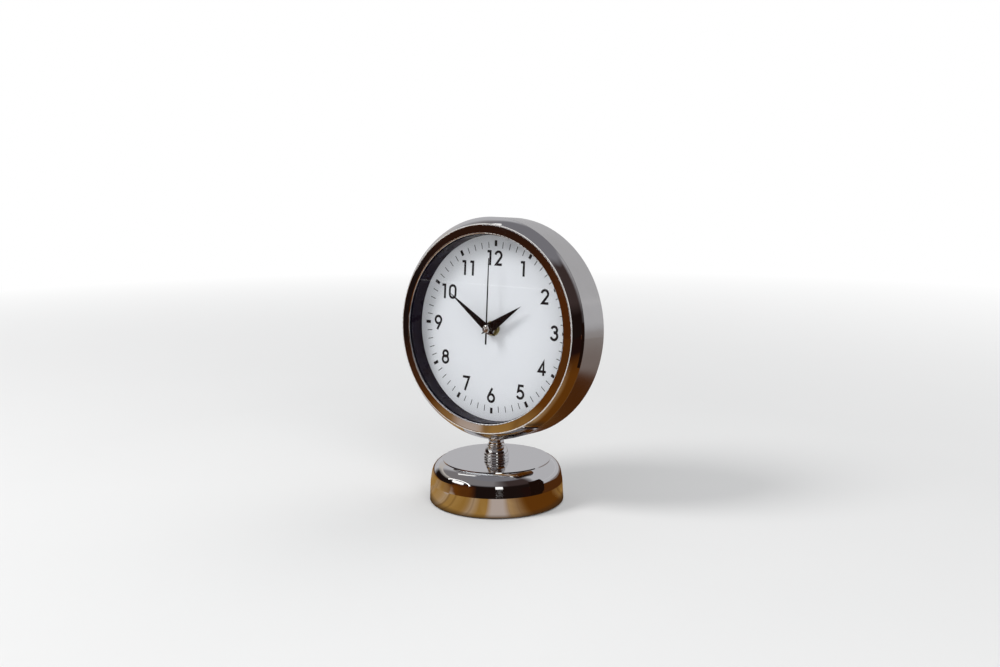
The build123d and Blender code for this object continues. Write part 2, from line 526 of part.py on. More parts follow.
def minute_wheel():
    """Setting wheel with its pinion and the arbor that carries the knob at the back."""
    aim = gap_towards(SETTING_AT, CENTRE, MINUTE_TEETH)
    wheel = gear(MINUTE_TEETH, MOTION_MODULE, -4.7, -3.9, SETTING_AT, aim)
    pinion = gear(MINUTE_LEAVES, HOUR_MODULE, -3.9, -2.6, SETTING_AT, tooth_towards(SETTING_AT, CENTRE))
    arbor = rod(SETTING_ARBOR, -19.4, -2.6, SETTING_AT) + rod(0.6, -2.6, FLOOR + 0.5, SETTING_AT)
    return wheel + pinion + arbor + rod(1.7, -5.6, -4.7, SETTING_AT)


def hour_wheel():
    """Hour wheel and its pipe, which runs in the bush and carries the hour hand."""
    wheel = gear(HOUR_TEETH, HOUR_MODULE, -3.6, -2.8, aim=gap_towards(CENTRE, SETTING_AT, HOUR_TEETH))
    top = HOUR_HAND_AT + HAND_THICK + 0.05
    return wheel + rod(PIPE_RADIUS, -3.6, top) - rod(PIPE_BORE, -3.6, top)


def set_knob():
    """Fluted knob at the back that sets the hands."""
    radius, flutes, low, high = 5.0, 20, -20.3, -17.4
    knob = turned((0, low), (radius - 0.4, low), (radius, low + 0.4), (radius, high - 0.3),
                  (radius - 0.3, high), (0, high))
    for flute in range(flutes):
        knob -= rod(0.45, low, high, polar(radius + 0.15, 360 * flute / flutes))
    return Pos(*SETTING_AT) * knob - rod(SETTING_ARBOR + 0.02, -19.5, high, SETTING_AT)


# ------------------------------------------------------------------ hands
def dauphine(tip, half_width, shoulder, tail, seat, bore, angle):
    """Flat lozenge hand, widest just ahead of its hub, with a short pointed tail."""
    outline = Polyline((0, tip), (half_width, shoulder), (0, -tail), (-half_width, shoulder), close=True)
    hand = Pos(0, 0, seat) * extrude(make_face(outline) + Circle(bore + 0.7), HAND_THICK)
    return Rot(0, 0, -angle) * (hand - rod(bore, seat, seat + HAND_THICK))


def hour_hand():
    return dauphine(29.7, 3.2, 3.6, 7.2, HOUR_HAND_AT, PIPE_RADIUS + 0.03, HOUR_ANGLE)


def minute_hand():
    return dauphine(39.7, 2.45, 4.2, 7.6, MINUTE_HAND_AT, CANNON_RADIUS + 0.03, MINUTE_ANGLE)


def hour_collet():
    """Bright collar under the hour hand that grips the hour pipe."""
    return tube(3.9, PIPE_RADIUS + 0.03, HOUR_HAND_AT - 1.0, HOUR_HAND_AT)


def minute_collet():
    """Bright collar under the minute hand that grips the minute tube."""
    return tube(3.0, CANNON_RADIUS + 0.03, HOUR_HAND_AT + HAND_THICK + 0.25, MINUTE_HAND_AT)


def second_hand():
    """Needle with a plain counterweight tail and a round seat under the cap."""
    needle = Polyline((-0.3, 46.0), (0.3, 46.0), (0.55, 0), (0.6, -10.2), (-0.6, -10.2), (-0.55, 0),
                      close=True)
    low, high = SECOND_HAND_AT - 0.45, SECOND_HAND_AT + 0.25
    hand = Pos(0, 0, SECOND_HAND_AT) * extrude(make_face(needle) + Circle(2.2), high - SECOND_HAND_AT)
    hand += rod(1.2, low, SECOND_HAND_AT)
    return Rot(0, 0, -SECOND_ANGLE) * (hand - rod(SECONDS_ARBOR + 0.02, low, high))


def second_cap():
    """Small bright button with a rolled edge and a faint dome, on the second hand's seat."""
    low, radius, roll, rise = SECOND_HAND_AT + 0.25, 2.65, 0.8, 0.16
    side, top = low + 0.45, low + 0.45 + roll
    button = turned(
        Polyline((0, low), (radius, low), (radius, side)),
        CenterArc((radius - roll, side), roll, 0, 90),
        Polyline((radius - roll, top), (0, top), (0, low)),
    )
    return button + dome(radius - roll, top, rise) - rod(0.6, low, low + 0.2)


# ------------------------------------------------------------------ assembly
STAND = {
    "base_shell": base_shell(),
    "base_weight": base_weight(),
    "base_pad": base_pad(),
    "base_washer": washer(5.5, 7.0),
    "base_nut": hex_nut(3.0),
    "stem_stud": stem_stud(),
    "stem_collar": stem_collar(),
    "case_saddle": case_saddle(),
    "case_washer": washer(5.0, SADDLE_TOP),
    "case_nut": hex_nut(SADDLE_TOP + WASHER_THICK),
    "case_drum": case_drum(),
}
IN_DIAL_FRAME = {
    "bezel_ring": bezel_ring(),
    "lens_gasket": tube(65.4, 62.2, GLASS_FRONT, GASKET_FRONT),
    "lens": lens(),
    "dial_well": dial_well(),
    "dial_plate": dial_plate(),
    "dial_screws": screw_ring(DIAL_SCREW_CIRCLE, DIAL_SCREW_ANGLES, 1.7, 0.9, 0.95, -DIAL_THICK, 1.5),
    "back_cover": back_cover(),
    "back_screws": screw_ring(POST_CIRCLE, POST_ANGLES, 2.3, 0.9, 1.2, BACK_REAR, -9.0),
    "movement_case": movement_case(),
    "movement_cover": movement_cover(),
    "middle_plate": middle_plate(),
    "movement_bush": movement_bush(),
    "movement_nut": movement_nut(),
    "dial_washer": tube(4.9, BUSH_RADIUS + FIT, 0, 0.3),
    "stator": stator(),
    "coil_core": coil_core(),
    "coil_bobbin": coil_bobbin(),
    "coil_winding": coil_winding(),
    "circuit_board": circuit_board(),
    "crystal_can": crystal_can(),
    "chip_blob": chip_blob(),
    "contact_minus": contact_minus(),
    "contact_plus": contact_plus(),
    "battery_cell": battery_cell(),
    "rotor_shaft": rotor_shaft(),
    "rotor_magnet": rotor_magnet(),
    "idler_wheel": idler_wheel(),
    "seconds_wheel": seconds_wheel(),
    "seconds_arbor": seconds_arbor(),
    "third_wheel": third_wheel(),
    "centre_wheel": centre_wheel(),
    "clutch_spring": clutch_spring(),
    "cannon_pinion": cannon_pinion(),
    "minute_wheel": minute_wheel(),
    "hour_wheel": hour_wheel(),
    "set_knob": set_knob(),
    "hour_hand": hour_hand(),
    "hour_collet": hour_collet(),
    "minute_hand": minute_hand(),
    "minute_collet": minute_collet(),
    "second_hand": second_hand(),
    "second_cap": second_cap(),
}

os.makedirs("parts", exist_ok=True)
for name, shape in STAND.items():
    export_step(shape, f"parts/{name}.step")
for name, shape in IN_DIAL_FRAME.items():
    export_step(DIAL_PLACE * shape, f"parts/{name}.step")
print(len(STAND) + len(IN_DIAL_FRAME), "parts")
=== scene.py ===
"""Looks for the pedestal desk clock: materials, dial print, bezel trim, stage, lights and camera.

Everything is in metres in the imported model's frame. Dial pieces are drawn in millimetres in the dial frame
(X right, Y towards 12 o'clock, Z out towards the reader) and then placed. The patterns of the materials are
measured in millimetres too.
"""
import json
from math import atan2, cos, hypot, pi, radians, sin

import bmesh
import bpy
from mathutils import Euler, Matrix, Vector

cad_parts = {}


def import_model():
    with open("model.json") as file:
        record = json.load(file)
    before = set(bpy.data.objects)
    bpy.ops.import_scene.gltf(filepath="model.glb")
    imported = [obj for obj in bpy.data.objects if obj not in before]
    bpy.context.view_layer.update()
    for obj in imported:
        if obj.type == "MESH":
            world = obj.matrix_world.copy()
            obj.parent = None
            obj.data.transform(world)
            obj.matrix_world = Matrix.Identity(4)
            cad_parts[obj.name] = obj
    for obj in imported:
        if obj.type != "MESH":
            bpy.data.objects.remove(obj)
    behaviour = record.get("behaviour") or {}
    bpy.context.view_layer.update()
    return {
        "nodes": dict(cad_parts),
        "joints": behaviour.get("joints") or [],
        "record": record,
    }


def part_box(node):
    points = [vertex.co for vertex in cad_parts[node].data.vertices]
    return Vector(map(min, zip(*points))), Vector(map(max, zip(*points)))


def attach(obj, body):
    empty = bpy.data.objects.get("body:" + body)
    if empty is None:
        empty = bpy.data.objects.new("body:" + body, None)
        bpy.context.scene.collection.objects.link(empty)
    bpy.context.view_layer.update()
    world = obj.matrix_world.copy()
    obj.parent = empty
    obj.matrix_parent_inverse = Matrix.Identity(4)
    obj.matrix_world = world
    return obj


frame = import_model()
MM = 0.001
BODY = "clock_body"                             # the fixed body, which the print and the painted highlight rings ride on

# ---- the dial frame comes from the second hand's joint, which stands on the dial's centre
turn = next(joint for joint in frame["joints"] if joint["name"] == "second_hand_turn")
OUTWARD = -Vector(turn["axis"])
UPWARD = OUTWARD.cross(Vector((1, 0, 0)))
DIAL_FRAME = (Matrix.Translation(Vector(turn["pos_m"]))
              @ Matrix((Vector((1, 0, 0)), UPWARD, OUTWARD)).transposed().to_4x4()
              @ Matrix.Scale(MM, 4))

# ---- dial print, millimetres
PRINT_LOW, PRINT_HIGH = 0.004, 0.045            # over the dial
DIGIT_HEIGHT, STROKE, DIGIT_GAP = 10.0, 1.65, 2.4
MITRE_LIMIT = 0.4                               # a corner's mitre divides by no smaller cosine
MINUTE_MARK = (52.2, 56.3, 0.5)                 # inner radius, outer radius, width
HOUR_MARK = (53.3, 57.2, 2.0)
MINUTE_STEP = 6                                 # degrees from one mark to the next
MARKS_TURN, MARKS_RISE = 0.6, 0.5               # degrees and millimetres that the marks sit turned and high
NUMERAL_CENTRES = {
    12: (-1.2, 46.1), 1: (21.0, 40.2), 2: (39.4, 23.5), 3: (47.3, 1.0),
    4: (39.5, -22.0), 5: (23.2, -39.6), 6: (0.0, -44.7), 7: (-21.4, -38.8),
    8: (-39.5, -22.8), 9: (-46.7, 0.2), 10: (-38.4, 21.8), 11: (-23.1, 38.5),
}

# ---- painted highlight rings on the bezel, millimetres
CREST_HIGHLIGHT_BEAD = (67.95, 12.98, 0.36)               # ring radius, height over the dial, bead radius
LIP_HIGHLIGHT_BEAD = (62.25, 13.28, 0.34)
BEAD_AROUND, BEAD_ACROSS = 192, 10              # facets round the ring and round the bead

# ---- camera, fitted to the photograph's viewing angle
CAMERA_AT = (0.40448, -0.55427, 0.22377)
CAMERA_TURN = (80.7834, 0.2237, 35.8603)        # XYZ Euler angles, degrees
CAMERA_LENS, CAMERA_SENSOR = 37.94, 36.0        # millimetres

# ---- stage, metres
CLOCK = (0, 0, 0.1)                             # what the lamps and cards face
FLOOR_RADIUS, ROOM_RADIUS = 8, 2.85
TABLE_RADIUS, TABLE_HEIGHT = 2.9, 0.0003
DISC_SIDES, ARCH_STEPS = 96, 48
SKY, SKY_STRENGTH = (0.95, 0.97, 1.0), 0.5
WINDOW_WHITE, BOOK_DARK = (1.0, 0.99, 0.97), (0.012, 0.005, 0.003)
LAMPS = (                                       # name, watts, diameter, place
    ("key", 12.5, 0.6, (-0.7, -0.9, 1.15)),
    ("fill", 5.5, 0.9, (1.0, -0.7, 0.8)),
    ("rim", 7, 1.6, (0.3, 1.3, 1.1)),
)

# ---- how patterns are read
NOISE_ROUGHNESS = 0.55
NOISE_SPREAD = (0.35, 0.65)                     # where nearly all of a noise's values lie
EDGE_COSINES = (0.995, 0.9)                     # between true and rounded normal, on a flat and on an edge


# ------------------------------------------------------------------ material helpers
class Surface:
    """A Principled material with procedural inputs, its texture space in millimetres."""

    def __init__(self, name, color, roughness, metallic=0.0, **sockets):
        self.material = bpy.data.materials.new(name)
        self.material.use_nodes = True
        self.tree = self.material.node_tree
        self.shader = self.tree.nodes["Principled BSDF"]
        self.output = self.tree.nodes["Material Output"].inputs["Surface"]
        self.color = (*color, 1.0)
        self.set(self.shader, "Base Color", self.color)
        self.set(self.shader, "Roughness", roughness)
        self.set(self.shader, "Metallic", metallic)
        for socket, value in sockets.items():
            self.set(self.shader, socket.replace("_", " "), value)
        where, scaled = self.node("ShaderNodeTexCoord"), self.node("ShaderNodeMapping")
        self.set(scaled, "Scale", (1 / MM,) * 3)
        self.link(where.outputs["Object"], scaled.inputs["Vector"])
        self.space = scaled.outputs["Vector"]
        self.relief = None

    def node(self, kind, operation=None):
        made = self.tree.nodes.new(kind)
        if operation:
            made.operation = operation
        return made

    @staticmethod
    def set(node, socket, value):
        node.inputs[socket].default_value = value

    def link(self, start, end):
        self.tree.links.new(start, end)

    def stretched(self, scale, turn=(0, 0, 0)):
        """Texture space with its own scale on each axis, turned by XYZ angles."""
        mapping = self.node("ShaderNodeMapping")
        self.set(mapping, "Scale", scale)
        self.set(mapping, "Rotation", turn)
        self.link(self.space, mapping.inputs["Vector"])
        return mapping.outputs["Vector"]

    def noise(self, size, detail=3.0, space=None):
        """Cloudy pattern from 0 to 1 whose features are about size millimetres across."""
        node = self.node("ShaderNodeTexNoise")
        self.set(node, "Scale", 1 / size)
        self.set(node, "Detail", detail)
        self.set(node, "Roughness", NOISE_ROUGHNESS)
        self.link(space or self.space, node.inputs["Vector"])
        return node.outputs["Fac"]

    def cells(self, size):
        """Distance to the nearest of scattered points about size millimetres apart."""
        node = self.node("ShaderNodeTexVoronoi")
        self.set(node, "Scale", 1 / size)
        self.link(self.space, node.inputs["Vector"])
        return node.outputs["Distance"]

    def ramp(self, value, low, high, start=0.0, end=1.0):
        """Value between two numbers, spread to start and end."""
        node = self.node("ShaderNodeMapRange")
        for socket, number in (("From Min", low), ("From Max", high), ("To Min", start), ("To Max", end)):
            self.set(node, socket, number)
        self.link(value, node.inputs["Value"])
        return node.outputs["Result"]

    def falling(self, value, low, high):
        """1 below low, 0 above high."""
        return self.ramp(value, low, high, 1.0, 0.0)

    def band(self, value, rise, fall):
        """1 between two soft edges, each the pair of numbers where it starts and ends."""
        return self.times(self.ramp(value, *rise), self.falling(value, *fall))

    def axis(self, name):
        """One coordinate of the texture space, in millimetres."""
        node = self.node("ShaderNodeSeparateXYZ")
        self.link(self.space, node.inputs["Vector"])
        return node.outputs[name]

    def outward(self, operation):
        """Vector maths on the level vector away from the clock's Z axis."""
        node = self.node("ShaderNodeVectorMath", operation)
        self.link(self.stretched((1, 1, 0)), node.inputs[0])
        return node.outputs

    def from_axis(self):
        """Distance from the clock's Z axis, in millimetres."""
        return self.outward("LENGTH")["Value"]

    def bearing(self):
        """Unit vector away from the clock's Z axis."""
        return self.outward("NORMALIZE")["Vector"]

    def facing(self, azimuth, width):
        """1 near that bearing from the clock's Z axis, 0 beyond width degrees of it.

        A bearing of 0 is the front, and 90 is the right.
        """
        node = self.node("ShaderNodeVectorMath", "DOT_PRODUCT")
        self.link(self.bearing(), node.inputs[0])
        node.inputs[1].default_value = (sin(radians(azimuth)), -cos(radians(azimuth)), 0)
        return self.ramp(node.outputs["Value"], cos(radians(width)), cos(radians(width / 2)))

    def edges(self, width):
        """1 on edges, fading out within that width in millimetres."""
        rounded, plain = self.node("ShaderNodeBevel"), self.node("ShaderNodeNewGeometry")
        self.set(rounded, "Radius", width * MM)
        dot = self.node("ShaderNodeVectorMath", "DOT_PRODUCT")
        self.link(rounded.outputs["Normal"], dot.inputs[0])
        self.link(plain.outputs["Normal"], dot.inputs[1])
        return self.ramp(dot.outputs["Value"], *EDGE_COSINES)

    def combine(self, first, second, how="MAXIMUM"):
        """One number out of two, each a socket or a plain number."""
        node = self.node("ShaderNodeMath", how)
        for socket, value in zip(node.inputs, (first, second)):
            if isinstance(value, (int, float)):
                socket.default_value = value
            else:
                self.link(value, socket)
        return node.outputs["Value"]

    def times(self, first, second):
        """Product of two masks, or of a mask and a number."""
        return self.combine(first, second, "MULTIPLY")

    def tint(self, mask, color):
        """Another base colour where the mask is 1."""
        node = self.node("ShaderNodeMix")
        node.data_type = "RGBA"
        self.link(mask, node.inputs["Factor"])
        base = self.shader.inputs["Base Color"]
        if base.is_linked:
            self.link(base.links[0].from_socket, node.inputs["A"])
        else:
            node.inputs["A"].default_value = self.color
        node.inputs["B"].default_value = (*color, 1.0)
        self.link(node.outputs["Result"], base)

    def spread(self, socket, value, low, high):
        """Drives one of the shader's numbers by a noise, between two numbers."""
        self.link(self.ramp(value, *NOISE_SPREAD, low, high), self.shader.inputs[socket])

    def bump(self, value, depth):
        """Adds relief of that depth in millimetres."""
        node = self.node("ShaderNodeBump")
        self.set(node, "Distance", depth * MM)
        self.link(value, node.inputs["Height"])
        if self.relief is not None:
            self.link(self.relief, node.inputs["Normal"])
        self.relief = node.outputs["Normal"]
        self.link(self.relief, self.shader.inputs["Normal"])

    def give_way(self, mask, other):
        """Another shader in place of the Principled one where the mask is 1."""
        mix = self.node("ShaderNodeMixShader")
        self.link(mask, mix.inputs["Fac"])
        self.link(self.shader.outputs["BSDF"], mix.inputs[1])
        self.link(other, mix.inputs[2])
        self.link(mix.outputs["Shader"], self.output)

    def glow(self, strength):
        """Shines with the tinted colour instead of taking light."""
        light = self.node("ShaderNodeEmission")
        self.link(self.shader.inputs["Base Color"].links[0].from_socket, light.inputs["Color"])
        self.set(light, "Strength", strength)
        self.link(light.outputs["Emission"], self.output)


# ------------------------------------------------------------------ materials
def chrome_plate():
    """Bright chrome with a very slight ripple, hairline scuffs, sparse pits and dull smudges."""
    m = Surface("chrome_plate", (0.83, 0.83, 0.84), 0.04, 1.0)
    smudge = m.noise(14, 4)
    few = m.ramp(m.noise(9, 1), 0.56, 0.6)
    pits = m.times(m.falling(m.cells(3.1), 0.04, 0.075), few)
    m.tint(m.times(pits, 0.75), (0.09, 0.075, 0.06))
    rough = m.combine(m.ramp(smudge, 0.42, 0.7, 0.025, 0.075), m.times(pits, 0.4), "ADD")
    m.link(rough, m.shader.inputs["Roughness"])
    m.bump(m.noise(11, 2), 0.012)
    m.bump(m.noise(0.5, 2, m.stretched((1, 0.12, 1))), 0.0006)
    return m.material


def satin_silver():
    """Plated drum with a soft sheen, faint turning lines and handling marks."""
    m = Surface("satin_silver", (0.72, 0.715, 0.71), 0.2, 1.0)
    m.spread("Roughness", m.noise(22, 5), 0.15, 0.23)
    m.tint(m.ramp(m.noise(30, 3), 0.45, 0.75, 0.0, 0.3), (0.6, 0.59, 0.57))
    m.bump(m.noise(16, 2), 0.01)
    m.bump(m.noise(0.35, 2, m.stretched((0.05, 1, 0.05))), 0.0012)
    return m.material


def front_glass():
    """Clear flat glass, which shadow and diffuse rays go straight through."""
    m = Surface("front_glass", (1.0, 1.0, 1.0), 0.0,
                IOR=1.45, Transmission_Weight=1.0, Specular_IOR_Level=0.3)
    clear, path = m.node("ShaderNodeBsdfTransparent"), m.node("ShaderNodeLightPath")
    m.set(clear, "Color", (0.97, 0.98, 0.98, 1.0))
    through = m.combine(path.outputs["Is Shadow Ray"], path.outputs["Is Diffuse Ray"])
    m.give_way(through, clear.outputs["BSDF"])
    m.spread("Roughness", m.noise(25, 4), 0.0, 0.02)
    return m.material


def gasket_rubber():
    """Matt black rubber."""
    m = Surface("gasket_rubber", (0.02, 0.02, 0.021), 0.6)
    m.spread("Roughness", m.noise(2), 0.5, 0.75)
    m.bump(m.noise(0.5), 0.02)
    return m.material


def well_moulding():
    """Glossy blue-black plastic with a trace of orange peel and lint."""
    m = Surface("well_moulding", (0.003, 0.0045, 0.013), 0.3, Specular_IOR_Level=0.08)
    m.spread("Roughness", m.noise(8, 4), 0.25, 0.4)
    m.tint(m.ramp(m.cells(1.9), 0.03, 0.05, 0.3, 0.0), (0.12, 0.12, 0.14))
    m.bump(m.noise(1.6, 2), 0.004)
    return m.material


def dial_paint():
    """Cool matt white with a fine eggshell grain."""
    m = Surface("dial_paint", (0.79, 0.8, 0.835), 0.55, Specular_IOR_Level=0.3)
    m.spread("Roughness", m.noise(1.1), 0.48, 0.66)
    m.tint(m.ramp(m.noise(26, 4), 0.4, 0.75, 0.0, 0.35), (0.77, 0.775, 0.8))
    m.bump(m.noise(0.28, 2), 0.004)
    return m.material


def ink_black():
    """Printed marks: flat near-black with a ragged density."""
    m = Surface("ink_black", (0.01, 0.01, 0.013), 0.5, Specular_IOR_Level=0.2)
    m.spread("Roughness", m.noise(0.5), 0.42, 0.6)
    m.tint(m.ramp(m.noise(0.35, 3), 0.55, 0.8, 0.0, 0.4), (0.03, 0.03, 0.035))
    return m.material


def hand_black():
    """Satin black lacquer on thin sheet."""
    m = Surface("hand_black", (0.002, 0.002, 0.003), 0.3, Specular_IOR_Level=0.12)
    m.spread("Roughness", m.noise(1.3, 4), 0.22, 0.38)
    m.tint(m.times(m.edges(0.08), 0.5), (0.06, 0.06, 0.06))
    m.bump(m.noise(0.22), 0.003)
    return m.material


def bright_metal():
    """Nickel-plated turnings."""
    m = Surface("bright_metal", (0.75, 0.745, 0.73), 0.16, 1.0)
    m.spread("Roughness", m.noise(0.8, 4), 0.1, 0.26)
    m.bump(m.noise(0.3), 0.004)
    return m.material


def olive_brass():
    """Old brass gone dull and greenish, brighter on its edges."""
    m = Surface("olive_brass", (0.4, 0.35, 0.16), 0.36, 1.0)
    m.spread("Roughness", m.noise(0.9, 4), 0.26, 0.5)
    m.tint(m.ramp(m.noise(1.5, 4), 0.45, 0.7, 0.0, 0.7), (0.25, 0.24, 0.12))
    m.tint(m.times(m.edges(0.15), 0.6), (0.62, 0.53, 0.28))
    m.bump(m.noise(0.3), 0.005)
    return m.material


def zinc_steel():
    """Zinc plate with its mottled crystals."""
    m = Surface("zinc_steel", (0.58, 0.59, 0.6), 0.34, 1.0)
    m.spread("Roughness", m.noise(1.2, 4), 0.25, 0.48)
    m.tint(m.ramp(m.cells(0.9), 0.2, 0.7, 0.0, 0.5), (0.45, 0.46, 0.48))
    m.bump(m.noise(0.3), 0.006)
    return m.material


def rough_iron():
    """Sand-cast iron."""
    m = Surface("rough_iron", (0.1, 0.1, 0.105), 0.7, 0.6)
    m.spread("Roughness", m.noise(2.5, 4), 0.55, 0.85)
    m.tint(m.ramp(m.noise(6, 4), 0.5, 0.75, 0.0, 0.6), (0.13, 0.09, 0.06))
    m.bump(m.noise(0.9, 4), 0.15)
    return m.material


def felt_pad():
    """Dark felt with loose fibres."""
    m = Surface("felt_pad", (0.025, 0.026, 0.03), 0.95, Sheen_Weight=0.35, Sheen_Roughness=0.5)
    m.tint(m.ramp(m.noise(0.5, 5), 0.45, 0.7), (0.055, 0.056, 0.062))
    m.bump(m.noise(0.22, 5, m.stretched((1, 1, 0.3))), 0.08)
    return m.material


def moulded(name, color, roughness, grain=0.45, depth=0.012):
    """Moulded plastic with a fine spark-eroded grain, paler edges and a trace of dust."""
    m = Surface(name, color, roughness)
    m.spread("Roughness", m.noise(7, 4), roughness - 0.06, roughness + 0.1)
    dusty = tuple(channel * 0.85 + 0.03 for channel in color)
    rubbed = tuple(min(1, channel * 1.3 + 0.02) for channel in color)
    m.tint(m.ramp(m.noise(12, 5), 0.52, 0.8, 0.0, 0.5), dusty)
    m.tint(m.times(m.edges(0.25), 0.4), rubbed)
    m.bump(m.noise(grain, 2), depth)
    return m.material


def board_green():
    """Solder resist with the copper tracks showing as a lighter raised maze."""
    m = Surface("board_green", (0.012, 0.11, 0.045), 0.35)
    brick = m.node("ShaderNodeTexBrick")
    tracks = {"Scale": 0.32, "Mortar Size": 0.035, "Mortar Smooth": 0.1, "Brick Width": 0.9}
    for socket, value in tracks.items():
        m.set(brick, socket, value)
    m.link(m.stretched((1, 1, 1), turn=(pi / 2, 0, 0)), brick.inputs["Vector"])
    m.tint(brick.outputs["Fac"], (0.05, 0.22, 0.09))
    m.spread("Roughness", m.noise(1.5), 0.28, 0.45)
    m.bump(brick.outputs["Fac"], 0.03)
    return m.material


def winding_copper():
    """Enamelled wire, its turns as fine ridges across the coil, with painted shade in the grooves between
    them.
    """
    m = Surface("winding_copper", (0.55, 0.2, 0.07), 0.28, 1.0)
    turns = m.node("ShaderNodeTexWave")
    turns.bands_direction = "Z"
    m.set(turns, "Scale", 1.6)
    m.set(turns, "Distortion", 0.4)
    m.link(m.space, turns.inputs["Vector"])
    # painted shade: darker bands in the grooves between the turns
    m.tint(m.ramp(turns.outputs["Fac"], 0.0, 0.5, 0.7, 0.0), (0.2, 0.06, 0.02))
    m.bump(turns.outputs["Fac"], 0.05)
    return m.material


def soft_iron():
    """Punched sheet, grey and a little oily."""
    m = Surface("soft_iron", (0.36, 0.36, 0.37), 0.4, 1.0)
    m.spread("Roughness", m.noise(2, 4), 0.3, 0.55)
    m.bump(m.noise(0.25, 2, m.stretched((0.2, 1, 1))), 0.006)
    return m.material


def magnet_grey():
    """Sintered magnet, dark and finely pitted."""
    m = Surface("magnet_grey", (0.12, 0.12, 0.125), 0.5, 0.7)
    m.spread("Roughness", m.noise(0.5, 4), 0.42, 0.65)
    m.bump(m.noise(0.2, 3), 0.01)
    return m.material


def cell_sleeve():
    """Dark shrink sleeve with a plain gold band; both ends of the can are bare steel."""
    m = Surface("cell_sleeve", (0.02, 0.022, 0.028), 0.3)
    along = m.axis("X")
    low, high = (corner.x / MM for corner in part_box("battery_cell"))
    rim, button, ring, gap, blur = 0.45, 1.9, 15.0, 0.4, 0.1    # millimetres along the cell
    ends = m.combine(m.falling(along, low + rim, low + rim + blur),
                     m.ramp(along, high - button, high - button + blur))
    stop = high - button - gap
    band = m.band(along, (high - ring, high - ring + blur), (stop, stop + blur))
    m.tint(band, (0.5, 0.3, 0.05))
    m.tint(ends, (0.7, 0.7, 0.7))
    m.link(m.combine(ends, band), m.shader.inputs["Metallic"])
    m.spread("Roughness", m.noise(3, 4), 0.2, 0.36)
    m.bump(m.noise(1.2, 2), 0.004)
    return m.material


def bright_edge():
    """Painted highlight: a pale, half-metallic line that stands in for the light glinting on the bezel's
    edges.
    """
    m = Surface("bright_edge", (0.9, 0.89, 0.87), 0.25, 0.45)
    m.spread("Roughness", m.noise(3, 3), 0.18, 0.34)
    m.bump(m.noise(1.2), 0.004)
    return m.material


MATERIALS = {
    "chrome_plate": chrome_plate(),
    "satin_silver": satin_silver(),
    "front_glass": front_glass(),
    "gasket_rubber": gasket_rubber(),
    "well_moulding": well_moulding(),
    "dial_paint": dial_paint(),
    "hand_black": hand_black(),
    "bright_metal": bright_metal(),
    "olive_brass": olive_brass(),
    "zinc_steel": zinc_steel(),
    "iron_ballast": rough_iron(),
    "felt_pad": felt_pad(),
    "black_moulding": moulded("black_moulding", (0.018, 0.018, 0.02), 0.42),
    "white_acetal": moulded("white_acetal", (0.74, 0.73, 0.68), 0.32, 0.3, 0.004),
    "amber_acetal": moulded("amber_acetal", (0.55, 0.3, 0.07), 0.32, 0.3, 0.004),
    "board_green": board_green(),
    "winding_copper": winding_copper(),
    "soft_iron": soft_iron(),
    "magnet_grey": magnet_grey(),
    "cell_sleeve": cell_sleeve(),
}
INK = ink_black()
# pale material of the painted highlight rings on the bezel
PAINTED_HIGHLIGHT_LINE = bright_edge()

# ---- every node takes the material of its slot
for part in frame["record"]["subparts"]:
    node = frame["nodes"][part["node"]]
    node.data.materials.clear()
    node.data.materials.append(MATERIALS[part["material_slot"]])


# ------------------------------------------------------------------ mesh helpers
def mesh_object(name, bm, placement=DIAL_FRAME):
    """Object from a bmesh, with its place and scale in its vertices."""
    bmesh.ops.recalc_face_normals(bm, faces=bm.faces)
    mesh = bpy.data.meshes.new(name)
    bm.to_mesh(mesh)
    bm.free()
    mesh.transform(placement)
    piece = bpy.data.objects.new(name, mesh)
    bpy.context.scene.collection.objects.link(piece)
    return piece


def finish_piece(piece, material):
    """Gives a piece its material and the fixed body to ride on."""
    piece.data.materials.clear()
    piece.data.materials.append(material)
    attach(piece, BODY)


def arc(centre, radius, start, end, steps=20):
    """Points along an arc, angles in degrees anticlockwise from +X."""
    angles = [radians(start + (end - start) * i / steps) for i in range(steps + 1)]
    return [(centre[0] + radius * cos(a), centre[1] + radius * sin(a)) for a in angles]


def circle(centre, radius, steps):
    """Points round a whole circle, none of them twice."""
    return arc(centre, radius, 0, 360, steps)[:-1]


def prism(bm, path, width, closed=False):
    """Stroke of even width with mitred corners, as a thin closed band on the dial."""
    points = [Vector(p) for p in path]
    rows = []
    for i, here in enumerate(points):
        sides = []
        if i > 0 or closed:
            sides.append((here - points[i - 1]).normalized())
        if i < len(points) - 1 or closed:
            sides.append((points[(i + 1) % len(points)] - here).normalized())
        along = sum(sides, Vector((0, 0))).normalized()
        across = Vector((-along.y, along.x))
        reach = width / 2 / max(along.dot(sides[0]), MITRE_LIMIT)
        left, right = here + across * reach, here - across * reach
        rows.append([bm.verts.new((*left, PRINT_HIGH)), bm.verts.new((*right, PRINT_HIGH)),
                     bm.verts.new((*right, PRINT_LOW)), bm.verts.new((*left, PRINT_LOW))])
    pairs = list(zip(rows, rows[1:])) + ([(rows[-1], rows[0])] if closed else [])
    for a, b in pairs:
        for k in range(4):
            bm.faces.new((a[k], a[(k + 1) % 4], b[(k + 1) % 4], b[k]))
    if not closed:
        bm.faces.new(rows[0])
        bm.faces.new(rows[-1])


def stroke_object(path, closed):
    """One stroke of a figure, still in the dial's own millimetres."""
    bm = bmesh.new()
    prism(bm, path, STROKE, closed)
    return mesh_object("stroke", bm, Matrix.Identity(4))


def joined(pieces, name):
    """One clean solid out of overlapping strokes, placed on the dial."""
    first = pieces[0]
    for other in pieces[1:]:
        modifier = first.modifiers.new("join", "BOOLEAN")
        modifier.operation, modifier.solver, modifier.object = "UNION", "EXACT", other
    mesh = bpy.data.meshes.new_from_object(first.evaluated_get(bpy.context.evaluated_depsgraph_get()))
    for piece in pieces:
        bpy.data.objects.remove(piece)
    mesh.transform(DIAL_FRAME)
    mesh.name = name
    result = bpy.data.objects.new(name, mesh)
    bpy.context.scene.collection.objects.link(result)
    return result


